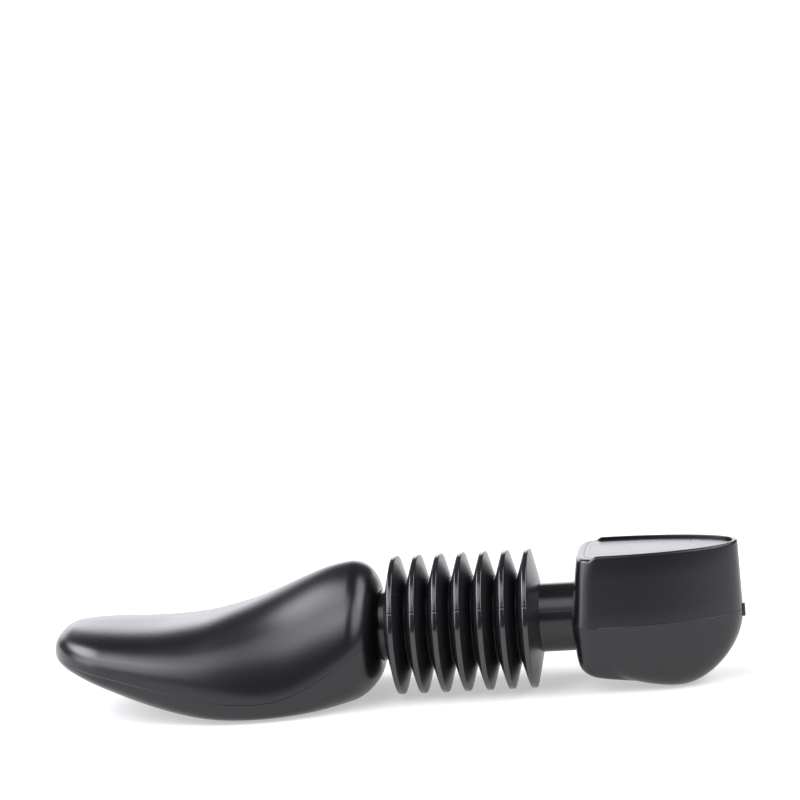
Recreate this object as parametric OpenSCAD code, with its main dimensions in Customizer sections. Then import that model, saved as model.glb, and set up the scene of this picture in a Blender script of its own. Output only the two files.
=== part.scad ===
// Plastic shoe stretcher: hollow toe form, seven-fold sprung bellows, hollow heel block.
// Millimetres. +X runs from the toe to the heel, +Z up, origin under the middle of the length.

/* [Toe form] */
// Length of the toe form from its tip to its rear face
toe_len = 131.5; // [128:0.5:134]
// Greatest width across the ball
toe_w = 76; // [70:0.5:80]
// Wall of the toe shells
toe_wall = 2; // [1.5:0.1:2.4]

/* [Bellows] */
// Height of the bellows axis over the surface the object lies on
axis_z = 28; // [27.5:0.1:29]
// Distance from one fold to the next
pitch = 8.7; // [8.6:0.05:9]
// Outer radius of the fold crests
crest_r = 27.3; // [26.8:0.1:27.5]
// Radius at the bottom of the grooves
root_r = 16.8; // [16.5:0.1:17.2]
// Width of the flat rim on each crest
rim_w = 1.86; // [1.6:0.02:2]
// Wall of the folds
fold_wall = 0.8; // [0.7:0.05:0.85]
// Radius at which crest pieces and root pieces part
split_r = 22.2; // [22.1:0.05:22.3]
// Radial clearance between crest pieces and root pieces
split_gap = 0.3; // [0.25:0.05:0.4]

/* [Necks] */
// Outer radius of both necks
neck_r = 13.5; // [13:0.1:13.6]
// Wall of the necks
neck_wall = 1.2; // [1:0.1:1.6]
// Radius of the flanges held inside the shells
flange_r = 17; // [16:0.1:17.5]
// Clearance round a neck in its hole
neck_gap = 0.35; // [0.25:0.05:0.5]

/* [Heel block] */
// Length of the heel block on its seam
heel_len = 66.1; // [65:0.1:67]
// Width of the heel block on its seam
heel_w = 45.6; // [44:0.2:47]
// Width over the lip round the top
top_w = 38; // [36:0.2:39]
// Height of the lip
heel_top_z = 54.9; // [54:0.1:56]
// Depth of the top panel below the lip
panel_drop = 1.1; // [0.8:0.1:1.4]
// Thickness of the top panel
panel_t = 2; // [1.6:0.1:2.2]
// Wall of the heel shells
heel_wall = 2; // [1.6:0.1:2.2]
// Diameter of the vent plug's stem
plug_d = 4; // [3:0.1:4.4]
// Vent bore through the plug
vent_d = 1; // [0.6:0.1:1.4]

/* [Hidden] */
$fn = 96;

// stations along X
crest_1_x = 1.3;
toe_rear_x = -5.2;
tip_x = toe_rear_x - toe_len;
heel_front_x = 69.8;
heel_rear_x = heel_front_x + heel_len;
function crest_x(i) = crest_1_x + pitch * (i - 1);
function root_x(i) = crest_x(i) + pitch / 2;

body_c = [0.13, 0.13, 0.14];
fold_c = [0.09, 0.09, 0.10];
panel_c = [0.20, 0.20, 0.21];

// ---- smooth curves through hand-set stations [distance, value]
function seg(t, x, i = 0) = (i >= len(t) - 2 || x < t[i + 1][0]) ? i : seg(t, x, i + 1);
function grad(t, i) = i == 0 ? (t[1][1] - t[0][1]) / (t[1][0] - t[0][0])
    : i == len(t) - 1 ? (t[i][1] - t[i - 1][1]) / (t[i][0] - t[i - 1][0])
    : (t[i + 1][1] - t[i - 1][1]) / (t[i + 1][0] - t[i - 1][0]);
function curve(t, x) = let (i = seg(t, x), h = t[i + 1][0] - t[i][0], s = (x - t[i][0]) / h, a = s * s, b = a * s)
    t[i][1] * (2 * b - 3 * a + 1) + grad(t, i) * h * (b - 2 * a + s)
    + t[i + 1][1] * (3 * a - 2 * b) + grad(t, i + 1) * h * (b - a);
function clamp01(x) = min(1, max(0, x));
function sgn(x) = x < 0 ? -1 : 1;
// rounding of an end: 0 at the very end, 1 from distance l on
function round_end(d, l) = let (t = 1 - clamp01(d / l)) sqrt(1 - t * t);

// ---- toe form, by distance d from the tip
toe_half = [[0, 27], [10, 28.5], [20, 30.5], [35, 33.8], [50, 36.3], [65, 37.8], [78, 38], [90, 36.8], [102, 34.3], [112, 31.6], [121, 29.4], [131.5, 27]];
toe_top = [[0, 35.3], [6, 35.3], [12, 35.3], [22, 34.8], [32, 34.2], [45, 34.1], [60, 35.6], [71, 38.4], [81, 41.3], [92, 45.4], [102, 49.5], [111, 52.8], [118, 54.3], [125, 54.9], [131.5, 54.9]];
toe_low = [[0, 21.5], [8, 18.4], [20, 13.1], [32, 8.3], [45, 4.2], [58, 1.3], [68, 0.1], [78, -0.3], [100, -0.3], [108, -0.1], [114, 0.5], [121, 1.6], [131.5, 3.9]];
toe_seam = [[0, 25.4], [8, 24.3], [22, 21.2], [40, 16.6], [57, 12.2], [72, 9.2], [84, 8.2], [94, 9], [103, 11.9], [112, 16.6], [121, 22.1], [131.5, 27.4]];
toe_up_n = [[0, 2.6], [20, 2.9], [45, 2.9], [60, 2.6], [75, 2.15], [90, 1.8], [110, 1.7], [121, 1.75], [131.5, 1.9]];
toe_lo_n = [[0, 2.2], [25, 2.5], [50, 3.4], [75, 4.6], [100, 4.4], [114, 3.4], [131.5, 2.4]];
turn_d = 120.5;
ref_len = 131.5;

// one station of the form: s = +1 upper half, -1 lower half; t = wall inset
function station(d, s, t, q) = let (
        w = toe_w / 76 * curve(toe_half, d) * round_end(d - t, 24) - t * min(1, d / 12),
        zs = curve(toe_seam, d),
        h = s > 0 ? (curve(toe_top, d) - zs) : (zs - curve(toe_low, d)),
        hh = max(0.01, h * round_end(d - t, 9) - t),
        n = s > 0 ? curve(toe_up_n, d) : curve(toe_lo_n, d),
        a = 180 * q)
    [max(0.01, w) * -sgn(cos(a)) * pow(abs(cos(a)), 2 / n), max(t, zs + s * hh * pow(abs(sin(a)), 2 / n))];
hole_r = neck_r + neck_gap;
function hole(s, q) = [-hole_r * cos(180 * q), axis_z + s * hole_r * sin(180 * q)];

toe_along = 26;
toe_turn = 7;
toe_round = 26;
// ring k of the form: 0 is the tip, then the body, then the rounding into the neck hole
function toe_ring(k, s, t) = k <= toe_along
    ? let (d = t + (turn_d - t) * (1 - cos(90 * pow(k / toe_along, 0.9))))
        [for (j = [0:toe_round]) let (p = station(d, s, t, j / toe_round)) [tip_x + d * toe_len / ref_len, p[0], p[1]]]
    : let (f = 90 * (k - toe_along) / toe_turn, d = turn_d + (ref_len - turn_d - t) * sin(f))
        [for (j = [0:toe_round]) let (p = station(min(ref_len, d + t), s, t, j / toe_round), c = hole(s, j / toe_round))
            [tip_x + d * toe_len / ref_len, c[0] + (p[0] - c[0]) * cos(f), c[1] + (p[1] - c[1]) * cos(f)]];

module toe_half_shell(s) {
    m = toe_along + toe_turn;
    n = toe_round + 1;
    outer = [for (k = [1:m]) toe_ring(k, s, 0)];
    inner = [for (k = [1:m]) toe_ring(k, s, toe_wall)];
    tip_o = [tip_x, 0, toe_seam[0][1]];
    tip_i = [tip_x + toe_wall * toe_len / ref_len, 0, curve(toe_seam, toe_wall)];
    pts = concat([tip_o, tip_i], [for (r = outer) each r], [for (r = inner) each r]);
    function o(k, j) = 2 + k * n + j;
    function i(k, j) = 2 + (m + k) * n + j;
    faces = concat(
        [for (j = [0:n - 2]) [0, o(0, j + 1), o(0, j)]],
        [for (k = [0:m - 2], j = [0:n - 2]) each [[o(k, j), o(k, j + 1), o(k + 1, j + 1)], [o(k, j), o(k + 1, j + 1), o(k + 1, j)]]],
        [for (j = [0:n - 2]) [1, i(0, j), i(0, j + 1)]],
        [for (k = [0:m - 2], j = [0:n - 2]) each [[i(k, j), i(k + 1, j + 1), i(k, j + 1)], [i(k, j), i(k + 1, j), i(k + 1, j + 1)]]],
        [[0, o(0, 0), i(0, 0)], [0, i(0, 0), 1]],
        [for (k = [0:m - 2]) each [[o(k, 0), o(k + 1, 0), i(k + 1, 0)], [o(k, 0), i(k + 1, 0), i(k, 0)]]],
        [[0, i(0, n - 1), o(0, n - 1)], [0, 1, i(0, n - 1)]],
        [for (k = [0:m - 2]) each [[o(k, n - 1), i(k + 1, n - 1), o(k + 1, n - 1)], [o(k, n - 1), i(k, n - 1), i(k + 1, n - 1)]]],
        [for (j = [0:n - 2]) each [[o(m - 1, j), o(m - 1, j + 1), i(m - 1, j + 1)], [o(m - 1, j), i(m - 1, j + 1), i(m - 1, j)]]]);
    polyhedron(pts, s < 0 ? [for (f = faces) [f[2], f[1], f[0]]] : faces, convexity = 8);
}
module toe_upper_shell() { color(body_c) toe_half_shell(1); }
module toe_sole_shell() { color(body_c) toe_half_shell(-1); }

// ---- bellows: every piece is turned about the axis; profiles are [radius, x]
k_flank = (pitch / 2 - rim_w / 2) / (crest_r - root_r);
wall_x = fold_wall * sqrt(1 + k_flank * k_flank);
crest_in = split_r + split_gap / 2;
root_out = split_r - split_gap / 2;
module turned() { translate([0, 0, axis_z]) rotate([0, 90, 0]) rotate_extrude() children(); }

// crest of a fold, a V-shaped cap with a narrow rounded rim
module fold_crest(i) {
    x = crest_x(i);
    a = rim_w / 2;
    e = a + (crest_r - crest_in) * k_flank;
    r2 = crest_r - fold_wall;
    f = max(0.15, a + fold_wall * k_flank - wall_x);
    color(fold_c) turned() polygon([
        [crest_in, x - e], [crest_r - 0.35, x - a - 0.03], [crest_r - 0.08, x - a + 0.14], [crest_r, x - a + 0.42],
        [crest_r, x + a - 0.42], [crest_r - 0.08, x + a - 0.14], [crest_r - 0.35, x + a + 0.03], [crest_in, x + e],
        [crest_in, x + e - wall_x], [r2, x + f], [r2, x - f], [crest_in, x - e + wall_x]]);
}
// groove between two crests, open to the outside
module fold_root(i) {
    x = root_x(i);
    e = (root_out - root_r) * k_flank;
    c = 0.3;
    color(fold_c) turned() polygon([
        [root_out, x - e], [root_r + c / k_flank * 0.3, x - c], [root_r, x], [root_r + c / k_flank * 0.3, x + c], [root_out, x + e],
        [root_out, x + e + wall_x], [root_r - fold_wall, x + wall_x - fold_wall * k_flank],
        [root_r - fold_wall, x - wall_x + fold_wall * k_flank], [root_out, x - e - wall_x]]);
}
module fold_crest_1() { fold_crest(1); }
module fold_crest_2() { fold_crest(2); }
module fold_crest_3() { fold_crest(3); }
module fold_crest_4() { fold_crest(4); }
module fold_crest_5() { fold_crest(5); }
module fold_crest_6() { fold_crest(6); }
module fold_crest_7() { fold_crest(7); }
module fold_root_1() { fold_root(1); }
module fold_root_2() { fold_root(2); }
module fold_root_3() { fold_root(3); }
module fold_root_4() { fold_root(4); }
module fold_root_5() { fold_root(5); }
module fold_root_6() { fold_root(6); }

// neck profile from the last groove wall (at the left) to the flange, m = +1 points to +X
module neck_profile(x0, m, reach, flange_x) {
    e = (root_out - root_r) * k_flank;
    s = (root_r - neck_r) * k_flank;
    ri = neck_r - neck_wall;
    polygon([for (p = [
        [root_out, -e], [neck_r + 0.35, s - 0.11], [neck_r, s + 0.25], [neck_r, flange_x], [flange_r, flange_x], [flange_r, flange_x + 1.8], [neck_r, flange_x + 1.8], [neck_r, reach],
        [ri, reach], [ri, s + neck_wall * k_flank - wall_x], [root_out, -e - wall_x]]) [p[0], x0 + m * p[1]]]);
}
module front_neck() { color(fold_c) turned() neck_profile(crest_x(1) - pitch / 2, -1, 12, 4.9); }
module rear_neck() { color(fold_c) turned() neck_profile(crest_x(7) + pitch / 2, 1, 22.5, 18.9); }

// ---- heel block: plan outlines at one height, angle a runs round from the rear
heel_mid_x = heel_front_x + 14;
function front_part(a) = clamp01((-cos(a) - 0.02) * 6);
// outline with its own front, rear and half width
function plan(a, xf, xr, b) = let (c = cos(a), s = sin(a), n = c > 0 ? 2.05 : 6)
    [c > 0 ? heel_mid_x + (xr - heel_mid_x) * pow(c, 2 / n) : heel_mid_x - (heel_mid_x - xf) * pow(-c, 2 / n),
     b * sgn(s) * pow(abs(s), 2 / n)];
heel_round = 72;
angles = [for (j = [0:heel_round - 1]) 360 * j / heel_round];

// upper half: straight drafted wall, then a lip at the sides and rear, or a soft turn at the front
panel_z = heel_top_z - panel_drop;
seat_z = panel_z - panel_t;
function up_front(z) = heel_front_x + 0.14 * (z - axis_z);
function up_rear(z) = heel_rear_x - 0.02 * (z - axis_z);
function up_half(z) = heel_w / 2 - (heel_w - top_w) / 2 * (z - axis_z) / (heel_top_z - axis_z);
function mix(a, b, t) = a + (b - a) * t;
up_side = [[0, axis_z], [0, 42], [0, heel_top_z - 1], [0.3, heel_top_z - 0.3], [1, heel_top_z], [1.8, heel_top_z], [2, heel_top_z - 0.2],
    [2, seat_z], [4, seat_z], [4, seat_z - 1.5], [heel_wall, seat_z - 1.5], [heel_wall, axis_z]];
up_fore = [[0, axis_z], [0, 40], [0, panel_z - 3.6], [0.3, panel_z - 1.9], [1.1, panel_z - 0.75], [2.3, panel_z - 0.1], [3, panel_z],
    [3, seat_z], [5, seat_z], [5, seat_z - 1.5], [heel_wall, seat_z - 3.4], [heel_wall, axis_z]];
function up_point(k, a) = let (t = front_part(a), ins = mix(up_side[k][0], up_fore[k][0], t), z = mix(up_side[k][1], up_fore[k][1], t),
        p = plan(a, up_front(z) + ins, up_rear(z) - ins, up_half(z) - ins)) [p[0], p[1], z];
module ring_solid(rings) {
    m = len(rings);
    n = len(rings[0]);
    polyhedron([for (r = rings) each r],
        [for (k = [0:m - 1], j = [0:n - 1]) each let (a = k * n + j, b = k * n + (j + 1) % n, c = ((k + 1) % m) * n + (j + 1) % n, d = ((k + 1) % m) * n + j)
            [[a, c, b], [a, d, c]]], convexity = 8);
}
module neck_bore() { translate([heel_front_x - 3, 0, axis_z]) rotate([0, 90, 0]) cylinder(r = hole_r, h = 8.5); }
plug_z = axis_z - 0.9;
module plug_bore() { translate([heel_rear_x - 6, 0, plug_z]) rotate([0, 90, 0]) cylinder(d = plug_d + 0.2, h = 9); }

module heel_upper_shell() {
    color(body_c) difference() {
        ring_solid([for (k = [0:len(up_side) - 1]) [for (a = angles) up_point(k, a)]]);
        neck_bore();
        plug_bore();
    }
}

// lower half: a drafted bowl whose floor slopes down to a resting line under the heel
// distance behind the heel's front, height of the bottom
low_floor = [[-4.3, 8.9], [5.7, 7.1], [17.7, 4.6], [27.7, 2], [35.7, 0.3], [41.7, -0.4], [45.7, -0.5], [69.7, -0.5]];
bowl_x = heel_front_x + 35.5;
function bowl_n(a) = cos(a) > 0 ? mix(4, 1.93, cos(a) * cos(a)) : mix(4, 10, clamp01(-2 * cos(a)));
function bowl_point(f, a, t) = let (n = bowl_n(a), g = pow(cos(f), 2 / n), h = pow(sin(f), 2 / n),
        o = plan(a, heel_front_x + t + 1.8 * h, heel_rear_x - t, heel_w / 2 - t - 2 * h),
        x = bowl_x + (o[0] - bowl_x) * g, y = o[1] * g)
    [x, y, max(t, axis_z - (axis_z - curve(low_floor, x - heel_front_x) - t) * h)];
bowl_steps = 11;
module heel_lower_shell() {
    n = heel_round;
    m = bowl_steps;
    outer = [for (k = [0:m - 1]) [for (a = angles) bowl_point(90 * k / m, a, 0)]];
    inner = [for (k = [0:m - 1]) [for (a = angles) bowl_point(90 * k / m, a, heel_wall)]];
    pole_o = [bowl_x, 0, max(0, curve(low_floor, bowl_x - heel_front_x))];
    pole_i = [bowl_x, 0, pole_o[2] + heel_wall];
    pts = concat([pole_o, pole_i], [for (r = outer) each r], [for (r = inner) each r]);
    function o(k, j) = 2 + k * n + j % n;
    function i(k, j) = 2 + (m + k) * n + j % n;
    color(body_c) difference() {
        polyhedron(pts, concat(
            [for (k = [0:m - 2], j = [0:n - 1]) each [[o(k, j), o(k, j + 1), o(k + 1, j + 1)], [o(k, j), o(k + 1, j + 1), o(k + 1, j)]]],
            [for (j = [0:n - 1]) [o(m - 1, j), o(m - 1, j + 1), 0]],
            [for (k = [0:m - 2], j = [0:n - 1]) each [[i(k, j), i(k + 1, j + 1), i(k, j + 1)], [i(k, j), i(k + 1, j), i(k + 1, j + 1)]]],
            [for (j = [0:n - 1]) [i(m - 1, j), 1, i(m - 1, j + 1)]],
            [for (j = [0:n - 1]) each [[o(0, j), i(0, j + 1), o(0, j + 1)], [o(0, j), i(0, j), i(0, j + 1)]]]), convexity = 8);
        neck_bore();
        plug_bore();
    }
}

// flat tongue-shaped panel in the recess, with a plain shallow outline cut in its face
module tongue(ins) {
    polygon([for (a = angles) let (i = mix(2, 3, front_part(a)) + ins) plan(a, up_front(panel_z) + i, up_rear(panel_z) - i, up_half(panel_z) - i)]);
}
mark_l = 39;
mark_w = 18;
mark_x = heel_front_x + 8.5;
module heel_top_panel() {
    color(panel_c) difference() {
        translate([0, 0, seat_z]) linear_extrude(panel_t) tongue(0.15);
        translate([mark_x, 0, panel_z - 0.25]) linear_extrude(1) difference() {
            translate([0, -mark_w / 2]) square([mark_l, mark_w]);
            translate([0.4, -mark_w / 2 + 0.4]) square([mark_l - 0.8, mark_w - 0.8]);
        }
    }
}

// air vent plug on the seam at the back: stem through the wall, flat head with rounded corners
module plug_face(w, h, r) {
    square([w - 2 * r, h], center = true);
    square([w, h - 2 * r], center = true);
    for (x = [-1, 1], y = [-1, 1]) translate([x * (w / 2 - r), y * (h / 2 - r)]) circle(r = r, $fn = 32);
}
module vent_plug() {
    color(body_c) translate([heel_rear_x + 0.05, 0, plug_z]) rotate([0, 90, 0]) difference() {
        union() {
            linear_extrude(0.75) plug_face(5, 3.4, 0.8);
            translate([0, 0, -4.5]) cylinder(d = plug_d, h = 4.6);
        }
        translate([0, 0, -6]) cylinder(d = vent_d, h = 8);
    }
}

toe_upper_shell();
toe_sole_shell();
front_neck();
fold_crest_1();
fold_crest_2();
fold_crest_3();
fold_crest_4();
fold_crest_5();
fold_crest_6();
fold_crest_7();
fold_root_1();
fold_root_2();
fold_root_3();
fold_root_4();
fold_root_5();
fold_root_6();
rear_neck();
heel_upper_shell();
heel_lower_shell();
heel_top_panel();
vent_plug();
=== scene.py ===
import bpy
import math
import numpy as np
from mathutils import Matrix, Vector


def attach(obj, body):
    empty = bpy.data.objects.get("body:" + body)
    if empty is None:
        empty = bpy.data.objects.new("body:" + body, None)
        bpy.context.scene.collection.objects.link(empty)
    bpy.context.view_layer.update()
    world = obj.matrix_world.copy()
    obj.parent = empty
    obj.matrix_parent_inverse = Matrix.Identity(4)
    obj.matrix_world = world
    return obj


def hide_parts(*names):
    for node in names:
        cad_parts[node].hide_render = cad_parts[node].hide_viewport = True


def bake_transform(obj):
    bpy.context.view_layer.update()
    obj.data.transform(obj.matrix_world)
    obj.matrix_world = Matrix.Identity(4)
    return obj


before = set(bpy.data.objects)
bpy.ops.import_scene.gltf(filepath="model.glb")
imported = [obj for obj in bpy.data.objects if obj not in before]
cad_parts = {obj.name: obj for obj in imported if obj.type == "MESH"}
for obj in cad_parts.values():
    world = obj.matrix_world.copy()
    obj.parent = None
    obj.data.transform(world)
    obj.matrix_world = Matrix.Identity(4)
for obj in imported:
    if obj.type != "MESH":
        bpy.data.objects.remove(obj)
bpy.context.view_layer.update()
MM = 0.001

# ------------------------------------------------------------------ sizes, the same as in the CAD source
TOE_LEN, REF_LEN, TURN_D = 131.5, 131.5, 120.5
TOE_REAR_X = -5.2
TIP_X = TOE_REAR_X - TOE_LEN
AXIS_Z = 28.0
PITCH, CREST_1_X = 8.7, 1.3
CREST_R, ROOT_R, RIM_W = 27.3, 16.8, 1.86
NECK_R, HOLE_R = 13.5, 13.85
HEEL_LEN, HEEL_W, TOP_W, HEEL_TOP = 66.1, 45.6, 38.0, 54.9
HEEL_FRONT = 69.8
HEEL_REAR = HEEL_FRONT + HEEL_LEN
PLUG_Z = AXIS_Z - 0.9
PANEL_Z = HEEL_TOP - 1.1
SEAT_Z = PANEL_Z - 2.0
toe_half = [[0, 27], [10, 28.5], [20, 30.5], [35, 33.8], [50, 36.3], [65, 37.8], [78, 38], [90, 36.8], [102, 34.3], [112, 31.6], [121, 29.4], [131.5, 27]]
toe_top = [[0, 35.3], [6, 35.3], [12, 35.3], [22, 34.8], [32, 34.2], [45, 34.1], [60, 35.6], [71, 38.4], [81, 41.3], [92, 45.4], [102, 49.5], [111, 52.8], [118, 54.3], [125, 54.9], [131.5, 54.9]]
toe_low = [[0, 21.5], [8, 18.4], [20, 13.1], [32, 8.3], [45, 4.2], [58, 1.3], [68, 0.1], [78, -0.3], [100, -0.3], [108, -0.1], [114, 0.5], [121, 1.6], [131.5, 3.9]]
toe_seam = [[0, 25.4], [8, 24.3], [22, 21.2], [40, 16.6], [57, 12.2], [72, 9.2], [84, 8.2], [94, 9], [103, 11.9], [112, 16.6], [121, 22.1], [131.5, 27.4]]
toe_up_n = [[0, 2.6], [20, 2.9], [45, 2.9], [60, 2.6], [75, 2.15], [90, 1.8], [110, 1.7], [121, 1.75], [131.5, 1.9]]
toe_lo_n = [[0, 2.2], [25, 2.5], [50, 3.4], [75, 4.6], [100, 4.4], [114, 3.4], [131.5, 2.4]]
low_floor = [[-4.3, 8.9], [5.7, 7.1], [17.7, 4.6], [27.7, 2], [35.7, 0.3], [41.7, -0.4], [45.7, -0.5], [69.7, -0.5]]


# ------------------------------------------------------------------ curves and mesh helpers
def hermite(table, x):
    t = np.array(table, float)
    x = np.asarray(x, float)
    g = np.empty(len(t))
    g[0] = (t[1, 1] - t[0, 1]) / (t[1, 0] - t[0, 0])
    g[-1] = (t[-1, 1] - t[-2, 1]) / (t[-1, 0] - t[-2, 0])
    g[1:-1] = (t[2:, 1] - t[:-2, 1]) / (t[2:, 0] - t[:-2, 0])
    i = np.clip(np.searchsorted(t[:, 0], x, side="right") - 1, 0, len(t) - 2)
    h = t[i + 1, 0] - t[i, 0]
    s = (x - t[i, 0]) / h
    a, b = s * s, s**3
    return t[i, 1] * (2 * b - 3 * a + 1) + g[i] * h * (b - 2 * a + s) + t[i + 1, 1] * (3 * a - 2 * b) + g[i + 1] * h * (b - a)


class Smooth:
    """A station table read as a curve with continuous curvature, so that highlights run without kinks."""

    def __init__(self, table, sigma):
        lo, hi, step = table[0][0], table[-1][0], 0.25
        x = np.arange(lo, hi + step / 2, step)
        y = hermite(table, x)
        pad = int(4 * sigma / step)
        left = y[0] - (y[1] - y[0]) * np.arange(pad, 0, -1)
        right = y[-1] + (y[-1] - y[-2]) * np.arange(1, pad + 1)
        k = np.exp(-0.5 * (np.arange(-pad, pad + 1) * step / sigma) ** 2)
        k /= k.sum()
        self.x = x
        self.y = np.convolve(np.concatenate([left, y, right]), k, mode="valid")

    def __call__(self, v):
        return np.interp(v, self.x, self.y)


f_half, f_top, f_low = Smooth(toe_half, 4), Smooth(toe_top, 3), Smooth(toe_low, 3)
f_seam, f_up_n, f_lo_n = Smooth(toe_seam, 3), Smooth(toe_up_n, 5), Smooth(toe_lo_n, 5)
f_floor = Smooth(low_floor, 2)


def clamp01(x):
    return np.clip(x, 0.0, 1.0)


def mix(a, b, t):
    return a + (b - a) * t


def soft_floor(z, low, e=0.25):
    """z, but never under low, with a rounded turn."""
    v = z - low
    return low + 0.5 * (v + np.sqrt(v * v + e * e))


def mesh_object(name, verts, faces, angle=40.0):
    me = bpy.data.meshes.new(name)
    me.from_pydata([tuple(float(c) * MM for c in v) for v in verts], [], [tuple(int(i) for i in f) for f in faces])
    me.validate()
    me.update()
    me.polygons.foreach_set("use_smooth", [True] * len(me.polygons))
    me.set_sharp_from_angle(angle=math.radians(angle))
    ob = bpy.data.objects.new(name, me)
    bpy.context.scene.collection.objects.link(ob)
    return ob


def rounded(points, radii, n=6):
    """A path through 2D control points with its corners rounded. Each inner corner gives n + 1 points."""
    out = [np.array(points[0], float)]
    for i in range(1, len(points) - 1):
        a, b, c = (np.array(points[j], float) for j in (i - 1, i, i + 1))
        u, v = a - b, c - b
        lu, lv = np.linalg.norm(u), np.linalg.norm(v)
        u, v = u / lu, v / lv
        if radii[i] <= 0 or np.linalg.norm(u + v) < 1e-4:
            out += [b] * (n + 1)
            continue
        half = math.acos(max(-1.0, min(1.0, float(u @ v)))) / 2
        d = min(radii[i] / max(math.tan(half), 1e-6), 0.48 * lu, 0.48 * lv)
        r = d * math.tan(half)
        centre = b + (u + v) / np.linalg.norm(u + v) * math.hypot(d, r)
        p, q = b + u * d - centre, b + v * d - centre
        full = math.acos(max(-1.0, min(1.0, float(p @ q) / max(np.linalg.norm(p) * np.linalg.norm(q), 1e-12))))
        for k in range(n + 1):
            t = k / n
            w = (math.sin((1 - t) * full) * p + math.sin(t * full) * q) / max(math.sin(full), 1e-9)
            out.append(centre + w)
    out.append(np.array(points[-1], float))
    return out


def ring_faces(m, n, closed_rings=True, closed_loop=True, start=0):
    """Quads between m rings of n points. closed_rings joins each ring's ends, closed_loop the last ring to the first."""
    f = []
    for k in range(m if closed_loop else m - 1):
        for j in range(n if closed_rings else n - 1):
            a, b = start + k * n + j, start + k * n + (j + 1) % n
            k2 = (k + 1) % m
            f.append((a, b, start + k2 * n + (j + 1) % n, start + k2 * n + j))
    return f


def outward(ob):
    """Turns the faces outwards, by the signed volume of the closed mesh."""
    me = ob.data
    co = np.empty(len(me.vertices) * 3)
    me.vertices.foreach_get("co", co)
    co = co.reshape(-1, 3)
    vol = 0.0
    me.calc_loop_triangles()
    t = np.empty(len(me.loop_triangles) * 3, int)
    me.loop_triangles.foreach_get("vertices", t)
    t = t.reshape(-1, 3)
    vol = np.einsum("ij,ij->i", co[t[:, 0]], np.cross(co[t[:, 1]], co[t[:, 2]])).sum()
    if vol < 0:
        me.flip_normals()
    return ob


def cut(ob, cutter, angle=40.0):
    mod = ob.modifiers.new("cut", "BOOLEAN")
    mod.operation, mod.solver, mod.object = "DIFFERENCE", "EXACT", cutter
    dg = bpy.context.evaluated_depsgraph_get()
    me = bpy.data.meshes.new_from_object(ob.evaluated_get(dg))
    ob.modifiers.clear()
    old = ob.data
    ob.data = me
    bpy.data.meshes.remove(old)
    bpy.data.objects.remove(cutter)
    me.polygons.foreach_set("use_smooth", [True] * len(me.polygons))
    me.set_sharp_from_angle(angle=math.radians(angle))
    return ob


def rod_x(name, x0, x1, r, z=AXIS_Z, n=128, y=0.0):
    a = np.linspace(0, 2 * math.pi, n, endpoint=False)
    v = [(x, y + r * math.cos(t), z + r * math.sin(t)) for x in (x0, x1) for t in a]
    f = ring_faces(2, n, True, False) + [tuple(range(n)), tuple(range(2 * n - 1, n - 1, -1))]
    return outward(mesh_object(name, v, f))


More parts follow.
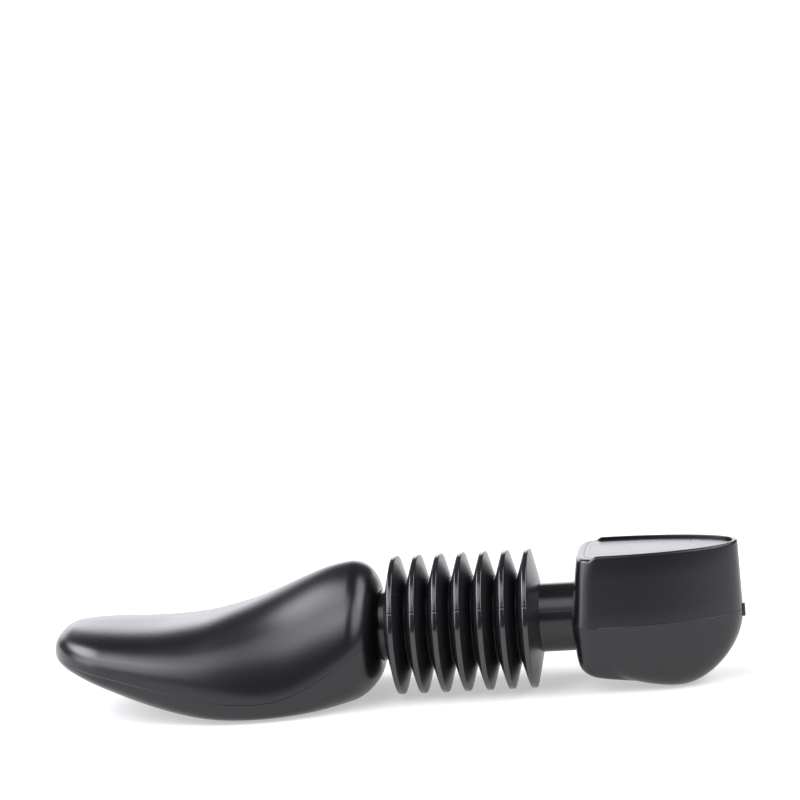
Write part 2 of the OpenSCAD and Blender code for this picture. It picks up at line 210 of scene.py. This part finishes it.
# ------------------------------------------------------------------ materials
def plastic(name, colour, rough, spread, grain, grain_height, haze=0.0, specular=0.5, coat=0.0):
    """Moulded black plastic: fine grain, slow changes in gloss, a little paler where edges rub."""
    m = bpy.data.materials.new(name)
    m.use_nodes = True
    nt = m.node_tree
    nt.nodes.clear()
    N, L = nt.nodes.new, nt.links.new
    out, bsdf = N("ShaderNodeOutputMaterial"), N("ShaderNodeBsdfPrincipled")
    L(bsdf.outputs["BSDF"], out.inputs["Surface"])
    bsdf.inputs["Specular IOR Level"].default_value = specular
    bsdf.inputs["IOR"].default_value = 1.5
    if coat:
        bsdf.inputs["Coat Weight"].default_value = coat
        bsdf.inputs["Coat Roughness"].default_value = 0.12
    co = N("ShaderNodeTexCoord")
    slow = N("ShaderNodeTexNoise")
    slow.inputs["Scale"].default_value = 26.0
    slow.inputs["Detail"].default_value = 4.0
    slow.inputs["Roughness"].default_value = 0.55
    L(co.outputs["Object"], slow.inputs["Vector"])
    r = N("ShaderNodeMapRange")
    r.inputs["From Min"].default_value, r.inputs["From Max"].default_value = 0.1, 0.9
    r.inputs["To Min"].default_value, r.inputs["To Max"].default_value = rough - 2 * spread, rough + 2 * spread
    L(slow.outputs["Fac"], r.inputs["Value"])
    L(r.outputs["Result"], bsdf.inputs["Roughness"])
    geo = N("ShaderNodeNewGeometry")
    worn = N("ShaderNodeMapRange")
    worn.interpolation_type = "SMOOTHSTEP"
    worn.inputs["From Min"].default_value, worn.inputs["From Max"].default_value = 0.52, 0.64
    worn.inputs["To Min"].default_value, worn.inputs["To Max"].default_value = 0.0, 1.0
    L(geo.outputs["Pointiness"], worn.inputs["Value"])
    patch = N("ShaderNodeTexNoise")
    patch.inputs["Scale"].default_value = 160.0
    patch.inputs["Detail"].default_value = 3.0
    L(co.outputs["Object"], patch.inputs["Vector"])
    much = N("ShaderNodeMath")
    much.operation = "MULTIPLY"
    L(worn.outputs["Result"], much.inputs[0])
    L(patch.outputs["Fac"], much.inputs[1])
    base = N("ShaderNodeMix")
    base.data_type = "RGBA"
    base.inputs[6].default_value = (*colour, 1)
    base.inputs[7].default_value = (*[min(1, c * 1.6 + 0.004) for c in colour], 1)
    L(much.outputs["Value"], base.inputs[0])
    tone = N("ShaderNodeMix")
    tone.data_type = "RGBA"
    tone.blend_type = "MULTIPLY"
    tone.inputs[0].default_value = 1.0
    shade = N("ShaderNodeMapRange")
    shade.inputs["From Min"].default_value, shade.inputs["From Max"].default_value = 0.1, 0.9
    shade.inputs["To Min"].default_value, shade.inputs["To Max"].default_value = 0.88, 1.12
    L(patch.outputs["Fac"], shade.inputs["Value"])
    L(base.outputs[2], tone.inputs[6])
    L(shade.outputs["Result"], tone.inputs[7])
    L(tone.outputs[2], bsdf.inputs["Base Color"])
    fine = N("ShaderNodeTexNoise")
    fine.inputs["Scale"].default_value = grain
    fine.inputs["Detail"].default_value = 3.0
    L(co.outputs["Object"], fine.inputs["Vector"])
    bump = N("ShaderNodeBump")
    bump.inputs["Strength"].default_value = 1.0
    bump.inputs["Distance"].default_value = grain_height
    L(fine.outputs["Fac"], bump.inputs["Height"])
    L(bump.outputs["Normal"], bsdf.inputs["Normal"])
    return m


shell_mat = plastic("shell_satin", (0.003, 0.003, 0.0038), 0.27, 0.012, 900.0, 0.0000015, specular=0.46)
fold_mat = plastic("bellows_flank", (0.012, 0.012, 0.0135), 0.29, 0.02, 1400.0, 0.000002, specular=0.28)
rim_mat = plastic("bellows_rim", (0.0045, 0.0045, 0.0053), 0.13, 0.015, 1400.0, 0.000002, specular=0.68)
neck_mat = plastic("neck_gloss", (0.006, 0.006, 0.007), 0.2, 0.02, 1400.0, 0.000002, specular=0.4)
panel_mat = plastic("panel_satin", (0.0085, 0.0085, 0.0095), 0.27, 0.012, 900.0, 0.0000015)


def dress(ob, mat, nodes=()):
    ob.data.materials.clear()
    ob.data.materials.append(mat)
    if nodes:
        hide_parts(*nodes)
    return ob


# ------------------------------------------------------------------ toe form
def round_end(d, l):
    t = 1 - clamp01(d / l)
    return np.sqrt(np.maximum(0, 1 - t * t))


def station(d, s, t, q):
    w = float(f_half(d) * round_end(d - t, 24) - t * min(1, d / 12))
    zs = float(f_seam(d))
    h = float((f_top(d) - zs) if s > 0 else (zs - f_low(d)))
    hh = max(0.01, h * float(round_end(d - t, 9)) - t)
    n = float(f_up_n(d) if s > 0 else f_lo_n(d))
    a = np.pi * q
    ca, sa = np.cos(a), np.clip(np.sin(a), 0, 1)
    y = -max(0.01, w) * np.sign(ca) * np.abs(ca) ** (2 / n)
    z = zs + s * hh * sa ** (2 / n)
    return y, soft_floor(z, t)


def even_q(d, s, t, count):
    """Parameters that space points evenly round a station, with a few close to the seam."""
    u = np.linspace(0, 1, 1601)
    q = 0.5 * (1 - np.cos(np.pi * u))
    y, z = station(d, s, t, q)
    length = np.concatenate([[0], np.cumsum(np.hypot(np.diff(y), np.diff(z)))])
    total = length[-1]
    near = np.array([0, 0.16, 0.4, 0.8, 1.4]) * min(1, total / 60)
    middle = np.linspace(near[-1], total - near[-1], count - 2 * len(near) + 2)
    want = np.concatenate([near[:-1], middle, total - near[:-1][::-1]])
    return np.interp(want, length, q)


def toe_ring(k, s, t, along, turn, count, groove):
    if k <= along:
        d = t + (TURN_D - t) * (1 - math.cos(math.pi / 2 * (k / along) ** 0.9))
        q = even_q(d, s, t, count)
        y, z = station(d, s, t, q)
        if groove:
            yy, zz = station(d, s, 0.0, q[[0, -1]])
            for e, sign in ((0, 1), (-1, -1)):
                y[e] = yy[e] + sign * min(groove, abs(yy[e]) * 0.2)
        x = np.full(count, TIP_X + d)
    else:
        f = math.pi / 2 * (k - along) / turn
        d = TURN_D + (REF_LEN - TURN_D - t) * math.sin(f)
        ds = min(REF_LEN, d + t)
        q = even_q(ds, s, t, count)
        y, z = station(ds, s, t, q)
        cy, cz = -HOLE_R * np.cos(np.pi * q), AXIS_Z + s * HOLE_R * np.sin(np.pi * q)
        c = math.cos(f)
        y, z = cy + (y - cy) * c, cz + (z - cz) * c
        if groove:
            y[0] += min(groove, 0.9 * abs(y[1] - y[0]) + groove * 0.6)
            y[-1] -= min(groove, 0.9 * abs(y[1] - y[0]) + groove * 0.6)
        x = np.full(count, TIP_X + d)
    return np.stack([x, y, z], 1)


def toe_shell(name, s):
    along, turn, count, wall = 150, 44, 112, 1.6
    m = along + turn
    outer = [toe_ring(k, s, 0.0, along, turn, count, 0.08) for k in range(1, m + 1)]
    inner = [toe_ring(k, s, wall, along, turn, count, 0) for k in range(1, m + 1)]
    tips = [[TIP_X, 0, float(f_seam(0))], [TIP_X + wall, 0, float(f_seam(wall))]]
    v = np.concatenate([np.array(tips)] + outer + inner)

    def o(k, j):
        return 2 + k * count + j

    def i(k, j):
        return 2 + (m + k) * count + j

    f = [(0, o(0, j + 1), o(0, j)) for j in range(count - 1)]
    f += [(o(k, j), o(k, j + 1), o(k + 1, j + 1), o(k + 1, j)) for k in range(m - 1) for j in range(count - 1)]
    f += [(1, i(0, j), i(0, j + 1)) for j in range(count - 1)]
    f += [(i(k, j), i(k + 1, j), i(k + 1, j + 1), i(k, j + 1)) for k in range(m - 1) for j in range(count - 1)]
    for j, turned in ((0, False), (count - 1, True)):
        rim = [(0, o(0, j), i(0, j), 1)] + [(o(k, j), o(k + 1, j), i(k + 1, j), i(k, j)) for k in range(m - 1)]
        f += [r[::-1] for r in rim] if turned else rim
    f += [(o(m - 1, j), o(m - 1, j + 1), i(m - 1, j + 1), i(m - 1, j)) for j in range(count - 1)]
    return outward(mesh_object(name, v, f, 32))


upper = dress(toe_shell("toe_upper", 1), shell_mat, ["toe_upper_shell"])
sole = dress(toe_shell("toe_sole", -1), shell_mat, ["toe_sole_shell"])
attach(upper, "toe")
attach(sole, "toe")

# ------------------------------------------------------------------ bellows
PARTING = (68.0, 248.0)  # the bellows' own parting line sits turned against the shells' line
turn_angles = np.sort(np.concatenate([
    np.linspace(0, 360, 180, endpoint=False),
    np.array([b + c for b in PARTING for c in (-1.6, -1.2, -0.8, -0.5, -0.25, 0.25, 0.5, 0.8, 1.2, 1.6)]),
]))


def turned(name, path, x0, seam=0.09, angle=40.0):
    """A closed path of (radius, x) turned about the bellows axis, with the mould's parting line at both sides."""
    a = np.radians(turn_angles)
    off = np.minimum(np.abs(turn_angles - PARTING[0]), np.abs(turn_angles - PARTING[1]))
    dip = -seam * np.exp(-((off / 0.55) ** 2)) + 0.3 * seam * np.exp(-((off - 1.2) ** 2) / 0.16)
    rings = []
    for r, x, outside in path:
        rr = r + (dip if outside else 0)
        rings.append(np.stack([np.full(len(a), x0 + x), rr * np.sin(a), AXIS_Z - rr * np.cos(a)], 1))
    return outward(mesh_object(name, np.concatenate(rings), ring_faces(len(path), len(a)), angle))


HALF = PITCH / 2
APEX = 16.2
SLOPE = (HALF - RIM_W / 2) / (CREST_R - APEX)
WALL = 0.7
WALL_X = WALL * math.sqrt(1 + SLOPE**2)
rim = RIM_W / 2
out_ctrl = [(CREST_R, -HALF - 3.4), (APEX, -HALF), (CREST_R, -rim), (CREST_R, rim), (APEX, HALF), (CREST_R, HALF + 3.4)]
out_path = rounded(out_ctrl, [0, 0.25, 0.55, 0.55, 0.25, 0], 8)
apex_in = APEX - WALL_X / SLOPE
top_in = CREST_R - WALL
edge_in = -HALF + (top_in - APEX) * SLOPE + WALL_X
in_ctrl = [(top_in, -HALF - 3.4), (apex_in, -HALF), (top_in, edge_in), (top_in, -edge_in), (apex_in, HALF), (top_in, HALF + 3.4)]
in_path = rounded(in_ctrl, [0, 0.95, 0.08, 0.08, 0.95, 0], 8)

# The first and last flanks are steeper: they reach the neck within half a pitch.
NECK_IN = NECK_R - 1.2
END_SLOPE = (HALF - rim) / (CREST_R - NECK_R)
END_WALL = WALL * math.sqrt(1 + END_SLOPE**2)
end_out = rounded([(NECK_R, -HALF), (CREST_R, -rim), (CREST_R, rim), (NECK_R, HALF)], [0, 0.55, 0.55, 0], 8)
end_edge = -HALF + (top_in - NECK_R) * END_SLOPE + END_WALL
end_foot = HALF - END_WALL + 1.2 * END_SLOPE
end_in = rounded([(NECK_IN, -HALF), (NECK_IN, -end_foot), (top_in, end_edge), (top_in, -end_edge), (NECK_IN, end_foot), (NECK_IN, HALF)], [0, 0.08, 0.08, 0.08, 0.08, 0], 8)


def between(path, x0, x1):
    """The stretch of the path from its valley or crest at x0 to the one at x1."""
    p = sorted((q for q in path if x0 + 1e-6 < q[1] < x1 - 1e-6), key=lambda q: q[1])
    r = np.array([[q[1], q[0]] for q in sorted(path, key=lambda q: q[1])])
    ends = [(float(np.interp(x, r[:, 0], r[:, 1])), x) for x in (x0, x1)]
    mid = []
    for q in p:
        mid.append((float(q[0]), float(q[1])))
    # extra points on the long flank, so that it bends smoothly
    full = [ends[0]] + mid + [ends[1]]
    out = [full[0]]
    for a, b in zip(full, full[1:]):
        n = max(1, int(abs(b[0] - a[0]) / 0.9))
        out += [(a[0] + (b[0] - a[0]) * k / n, a[1] + (b[1] - a[1]) * k / n) for k in range(1, n + 1)]
    return out


def half_fold(name, x0, lo, hi, straight=False):
    """Half a fold. The two end halves run straight down to their neck, with no groove bottom."""
    op, ip = (end_out, end_in) if straight else (out_path, in_path)
    o = [(r, x, True) for r, x in between(op, lo, hi)]
    i = [(r, x, False) for r, x in between(ip, lo, hi)]
    ob = turned(name, o + i[::-1], x0)
    return ob


def two_finishes(ob, x0):
    """The worn, polished rim gets its own finish; the flanks keep the mould's duller one."""
    me = ob.data
    me.materials.append(rim_mat)
    for p in me.polygons:
        c = p.center
        r = math.hypot(c.y, c.z - AXIS_Z * MM) / MM
        if r > CREST_R - 0.62 and abs(c.x / MM - x0) < rim + 0.25:
            p.material_index = 1


def crest_x(i):
    return CREST_1_X + PITCH * (i - 1)


for i in range(1, 8):
    x = crest_x(i)
    front = half_fold("bellows_%d_front" % i, x, -HALF, 0, i == 1)
    rear = half_fold("bellows_%d_rear" % i, x, 0, HALF, i == 7)
    dress(front, fold_mat, ["fold_crest_%d" % i])
    dress(rear, fold_mat, ["fold_root_%d" % i] if i < 7 else [])
    two_finishes(front, x)
    two_finishes(rear, x)
    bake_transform(front)
    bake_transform(rear)


def neck(name, x0, m, reach):
    path = [(NECK_R, m * reach * k / 8, True) for k in range(9)]
    path += [(NECK_IN, m * reach, False), (NECK_IN, 0, False)]
    return turned(name, path, x0, 0.04)


front_neck = dress(neck("neck_front", crest_x(1) - HALF, -1, 11.0), neck_mat, ["front_neck"])
rear_neck = dress(neck("neck_rear", crest_x(7) + HALF, 1, 20.0), neck_mat, ["rear_neck"])
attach(front_neck, "toe")
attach(rear_neck, "heel")

# ------------------------------------------------------------------ heel block
MID_X = HEEL_FRONT + 14


def plan(a, xf, xr, b):
    c, s = np.cos(a), np.sin(a)
    n = np.where(c > 0, 2.05, 4.4)
    x = np.where(c > 0, MID_X + (xr - MID_X) * np.abs(c) ** (2 / n), MID_X - (MID_X - xf) * np.abs(c) ** (2 / n))
    return x, b * np.sign(s) * np.abs(s) ** (2 / n)


def plan_angles(count):
    u = np.linspace(0, math.pi, 20001)
    x, y = plan(u, HEEL_FRONT, HEEL_REAR, HEEL_W / 2)
    length = np.concatenate([[0], np.cumsum(np.hypot(np.diff(x), np.diff(y)))])
    half = np.interp(np.linspace(0, length[-1], count // 2 + 1), length, u)
    return np.concatenate([half, 2 * math.pi - half[1:-1][::-1]])


A = plan_angles(360)


def front_part(a):
    t = clamp01((-np.cos(a) - 0.02) * 6)
    return t * t * (3 - 2 * t)


def up_front(z):
    return HEEL_FRONT + 0.14 * (z - AXIS_Z)


def up_rear(z):
    return HEEL_REAR - 0.02 * (z - AXIS_Z)


def up_half(z):
    return HEEL_W / 2 - (HEEL_W - TOP_W) / 2 * (z - AXIS_Z) / (HEEL_TOP - AXIS_Z)


W = 1.8
side = rounded([(0.15, AXIS_Z), (0, AXIS_Z + 0.15), (0, 34), (0, 40), (0, 46), (0, HEEL_TOP), (2, HEEL_TOP), (2, SEAT_Z), (4, SEAT_Z), (4, SEAT_Z - 1.5), (W, SEAT_Z - 1.5), (W, 40), (W, AXIS_Z)],
               [0, 0.05, 0.1, 0.1, 0.1, 1.45, 0.3, 0.05, 0.05, 0.05, 0.05, 0.1, 0], 6)
fore = rounded([(0.15, AXIS_Z), (0, AXIS_Z + 0.15), (0, 34), (0, 40), (0, 46), (0, PANEL_Z), (3, PANEL_Z), (3, SEAT_Z), (5, SEAT_Z), (5, SEAT_Z - 1.5), (W, SEAT_Z - 3.4), (W, 40), (W, AXIS_Z)],
               [0, 0.05, 0.1, 0.1, 0.1, 2.7, 0.12, 0.05, 0.05, 0.05, 0.05, 0.1, 0], 6)


def heel_upper():
    t = front_part(A)
    rings = []
    for (si, sz), (fi, fz) in zip(side, fore):
        ins, z = mix(si, fi, t), mix(sz, fz, t)
        x, y = plan(A, up_front(z) + ins, up_rear(z) - ins, up_half(z) - ins)
        rings.append(np.stack([x, y, z], 1))
    ob = outward(mesh_object("heel_upper", np.concatenate(rings), ring_faces(len(rings), len(A)), 32))
    return cut(ob, rod_x("bore", HEEL_FRONT - 4, HEEL_FRONT + 8, HOLE_R), 32)


def bowl(f, t, groove=0.0):
    c = np.cos(A)
    n = np.where(c > 0, mix(4, 1.93, c * c), mix(4, 10, clamp01(-2 * c)))
    g = max(math.cos(f), 0.0) ** (2 / n)
    h = max(math.sin(f), 0.0) ** (2 / n)
    x, y = plan(A, HEEL_FRONT + t + 1.8 * h + groove, HEEL_REAR - t - groove, HEEL_W / 2 - t - 2 * h - groove)
    bx = HEEL_FRONT + 35.5
    x, y = bx + (x - bx) * g, y * g
    z = AXIS_Z - (AXIS_Z - f_floor(x - HEEL_FRONT) - t) * h
    return np.stack([x, y, soft_floor(z, t, 0.12)], 1)


def heel_lower():
    m = 90
    fs = [0.0] + [math.pi / 2 * (k / m) ** 1.6 for k in range(1, m)]
    outer = [bowl(0.0, 0.0, 0.15)] + [bowl(f if k else 1e-5, 0.0) for k, f in enumerate(fs)]
    outer[1][:, 2] -= 0.15
    inner = [bowl(f, W) for f in fs]
    bx = HEEL_FRONT + 35.5
    mo, mi, n = len(outer), len(inner), len(A)
    po = [bx, 0, float(soft_floor(np.array(f_floor(bx - HEEL_FRONT)), 0.0, 0.12))]
    pi = [bx, 0, po[2] + W]
    v = np.concatenate([np.array([po, pi])] + outer + inner)
    f = ring_faces(mo, n, True, False, 2) + [tuple(r[::-1]) for r in ring_faces(mi, n, True, False, 2 + mo * n)]
    f += [(2 + (mo - 1) * n + j, 2 + (mo - 1) * n + (j + 1) % n, 0) for j in range(n)]
    f += [(2 + (mo + mi - 1) * n + (j + 1) % n, 2 + (mo + mi - 1) * n + j, 1) for j in range(n)]
    f += [(2 + (j + 1) % n, 2 + j, 2 + mo * n + j, 2 + mo * n + (j + 1) % n) for j in range(n)]
    ob = outward(mesh_object("heel_lower", v, f, 32))
    return cut(ob, rod_x("bore", HEEL_FRONT - 4, HEEL_FRONT + 8, HOLE_R), 32)


heel_up = dress(heel_upper(), shell_mat, ["heel_upper_shell"])
heel_low = dress(heel_lower(), shell_mat, ["heel_lower_shell"])
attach(heel_up, "heel")
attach(heel_low, "heel")


def box_object(name, x0, x1, y0, y1, z0, z1):
    v = [(x, y, z) for z in (z0, z1) for x, y in ((x0, y0), (x1, y0), (x1, y1), (x0, y1))]
    f = [(3, 2, 1, 0), (4, 5, 6, 7), (0, 1, 5, 4), (1, 2, 6, 5), (2, 3, 7, 6), (3, 0, 4, 7)]
    return outward(mesh_object(name, v, f))


def top_panel():
    t = front_part(A)
    rings = []
    for ins, z in ((0.06, SEAT_Z + 0.02), (0.06, PANEL_Z - 0.12), (0.08, PANEL_Z - 0.05), (0.12, PANEL_Z - 0.015), (0.2, PANEL_Z), (1.2, PANEL_Z)):
        i = mix(2, 3, t) + ins
        x, y = plan(A, up_front(PANEL_Z) + i, up_rear(PANEL_Z) - i, up_half(PANEL_Z) - i)
        rings.append(np.stack([x, y, np.full(len(A), z)], 1))
    n, m = len(A), len(rings)
    f = ring_faces(m, n, True, False) + [tuple(range(n))[::-1], tuple(range((m - 1) * n, m * n))]
    ob = outward(mesh_object("heel_panel", np.concatenate(rings), f, 32))
    x0, l, w, line = HEEL_FRONT + 8.5, 39.0, 18.0, 0.2
    for a in ((x0, x0 + l, -w / 2, -w / 2 + line), (x0, x0 + l, w / 2 - line, w / 2), (x0, x0 + line, -w / 2 + line / 2, w / 2 - line / 2), (x0 + l - line, x0 + l, -w / 2 + line / 2, w / 2 - line / 2)):
        ob = cut(ob, box_object("line", *a, PANEL_Z - 0.1, PANEL_Z + 1), 32)
    return ob


panel = dress(top_panel(), panel_mat, ["heel_top_panel"])
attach(panel, "heel")


def vent():
    """Flat rounded head of the vent plug, domed a little, with a bore and a slit, its foot sunk 0.7 mm into the wall.
    """
    w, h, r, top = 5.0, 3.4, 0.8, 0.75
    pts = []
    for cx, cy, a0 in ((w / 2 - r, h / 2 - r, 0), (-w / 2 + r, h / 2 - r, 90), (-w / 2 + r, -h / 2 + r, 180), (w / 2 - r, -h / 2 + r, 270)):
        for k in range(9):
            a = math.radians(a0 + 90 * k / 8)
            pts.append((cx + r * math.cos(a), cy + r * math.sin(a)))
    rings = []
    for ins, x in ((0.0, -0.7), (0.0, top - 0.35), (0.06, top - 0.16), (0.2, top - 0.04), (0.38, top)):
        rings.append([(HEEL_REAR + 0.05 + x, p[1] * (1 - ins / (h / 2)), PLUG_Z - p[0] * (1 - ins / (w / 2))) for p in pts])
    n, m = len(pts), len(rings)
    f = ring_faces(m, n, True, False) + [tuple(range(n))[::-1], tuple(range((m - 1) * n, m * n))]
    ob = outward(mesh_object("vent_head", np.concatenate(rings), f, 32))
    ob = cut(ob, rod_x("bore", HEEL_REAR + 0.2, HEEL_REAR + 3, 0.5, PLUG_Z, 32), 32)
    return cut(ob, box_object("slit", HEEL_REAR + 0.45, HEEL_REAR + 3, -0.14, 0.14, PLUG_Z - 2.6, PLUG_Z + 0.9), 32)


plug = dress(vent(), shell_mat, ["vent_plug"])
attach(plug, "heel")


# ------------------------------------------------------------------ floor, light, camera
def stage_floor():
    me = bpy.data.meshes.new("floor")
    s = 8.0
    me.from_pydata([(-s, -s, 0), (s, -s, 0), (s, s, 0), (-s, s, 0)], [], [(0, 1, 2, 3)])
    ob = bpy.data.objects.new("floor", me)
    bpy.context.scene.collection.objects.link(ob)
    m = bpy.data.materials.new("floor_white")
    m.use_nodes = True
    b = m.node_tree.nodes["Principled BSDF"]
    b.inputs["Base Color"].default_value = (0.44, 0.44, 0.43, 1)
    b.inputs["Roughness"].default_value = 0.9
    b.inputs["Specular IOR Level"].default_value = 0.1
    b.inputs["Emission Color"].default_value = (1, 1, 1, 1)
    b.inputs["Emission Strength"].default_value = 0.46
    me.materials.append(m)
    return ob


def stage_wall():
    """A low white wall far behind, so that the pale ground reaches over the top of the picture."""
    me = bpy.data.meshes.new("wall")
    me.from_pydata([(-8, 7.9, -0.01), (8, 7.9, -0.01), (8, 7.9, 0.75), (-8, 7.9, 0.75)], [], [(0, 1, 2, 3)])
    ob = bpy.data.objects.new("wall", me)
    bpy.context.scene.collection.objects.link(ob)
    m = bpy.data.materials.new("wall_white")
    m.use_nodes = True
    b = m.node_tree.nodes["Principled BSDF"]
    b.inputs["Base Color"].default_value = (0.4, 0.4, 0.4, 1)
    b.inputs["Roughness"].default_value = 0.9
    b.inputs["Emission Color"].default_value = (1, 1, 1, 1)
    b.inputs["Emission Strength"].default_value = 1.0
    me.materials.append(m)


stage_floor()
stage_wall()


def area(name, at, to, w, h, radiance):
    d = bpy.data.lights.new(name, "AREA")
    d.shape, d.size, d.size_y = "RECTANGLE", w, h
    d.energy = radiance * math.pi * w * h
    o = bpy.data.objects.new(name, d)
    o.location = at
    o.rotation_mode = "QUATERNION"
    o.rotation_quaternion = (Vector(to) - Vector(at)).to_track_quat("-Z", "Y")
    bpy.context.scene.collection.objects.link(o)
    return o


# Soft boxes either side of the camera, a dark gap where the camera stands, and a pale backdrop behind.
LOBES = [  # azimuth from +X towards +Y, elevation, inner and outer angle, radiance
    (184, 47, 9, 27, 11.0),
    (229, 30, 10, 30, 5.2),
    (325, 38, 11, 29, 4.6),
    (8, 48, 9, 25, 4.8),
    (95, 13, 6, 20, 2.8),
    (122, 17, 6, 20, 2.4),
    (200, 6, 9, 24, 4.6),
    (242, 56, 8, 24, 3.2),
]
BASE = 0.15
world = bpy.data.worlds.new("studio")
bpy.context.scene.world = world
world.use_nodes = True
nt = world.node_tree
nt.nodes.clear()
wo, bg = nt.nodes.new("ShaderNodeOutputWorld"), nt.nodes.new("ShaderNodeBackground")
nt.links.new(bg.outputs["Background"], wo.inputs["Surface"])
tc = nt.nodes.new("ShaderNodeTexCoord")
total = None
for az, el, inner, outer, strength in LOBES:
    az, el = math.radians(az), math.radians(el)
    dot = nt.nodes.new("ShaderNodeVectorMath")
    dot.operation = "DOT_PRODUCT"
    dot.inputs[1].default_value = (math.cos(el) * math.cos(az), math.cos(el) * math.sin(az), math.sin(el))
    nt.links.new(tc.outputs["Generated"], dot.inputs[0])
    mr = nt.nodes.new("ShaderNodeMapRange")
    mr.interpolation_type = "SMOOTHSTEP"
    mr.inputs["From Min"].default_value, mr.inputs["From Max"].default_value = math.cos(math.radians(outer)), math.cos(math.radians(inner))
    mr.inputs["To Min"].default_value, mr.inputs["To Max"].default_value = 0.0, strength
    nt.links.new(dot.outputs["Value"], mr.inputs["Value"])
    add = nt.nodes.new("ShaderNodeMath")
    add.operation = "ADD"
    nt.links.new(mr.outputs["Result"], add.inputs[0])
    if total is None:
        add.inputs[1].default_value = BASE
    else:
        nt.links.new(total, add.inputs[1])
    total = add.outputs["Value"]
nt.links.new(total, bg.inputs["Strength"])
bg.inputs["Color"].default_value = (0.965, 0.975, 1.03, 1)

scene = bpy.context.scene
scene.view_settings.view_transform = "Standard"
scene.view_settings.look = "None"
scene.view_settings.exposure = 0.0


def photo_camera(az, el, roll, dist, f_px, target, pixel):
    """The photo's camera: target lands on the given pixel of the 800 x 800 image, with the image rolled."""
    az, el, roll = (math.radians(v) for v in (az, el, roll))
    t = Vector(target)
    c = t + dist * Vector((math.sin(az) * math.cos(el), -math.cos(az) * math.cos(el), math.sin(el)))
    fw = (t - c).normalized()
    r = fw.cross(Vector((0, 0, 1))).normalized()
    u = r.cross(fw)
    base = Matrix((r, u, fw))
    turn = Matrix(((math.cos(roll), -math.sin(roll), 0), (math.sin(roll), math.cos(roll), 0), (0, 0, 1)))
    d = Vector(((pixel[0] - 400) / f_px, -(pixel[1] - 400) / f_px, 1)).normalized()
    aim = Vector((0, 0, 1)).rotation_difference(d).to_matrix()
    m = aim @ turn @ base
    cam = bpy.data.cameras.new("photo_camera")
    cam.sensor_width = 36.0
    cam.lens = f_px / 800 * 36.0
    cam.clip_start, cam.clip_end = 0.01, 30
    ob = bpy.data.objects.new("photo_camera", cam)
    bpy.context.scene.collection.objects.link(ob)
    cols = Matrix((m[0], m[1], -m[2])).transposed()
    ob.matrix_world = Matrix.Translation(c * MM) @ cols.to_4x4()
    bpy.context.scene.camera = ob


photo_camera(7, 13.2, 4.6, 1167.0, 2970.0, (27.4, 0, 28.0), (465.0, 621.2))
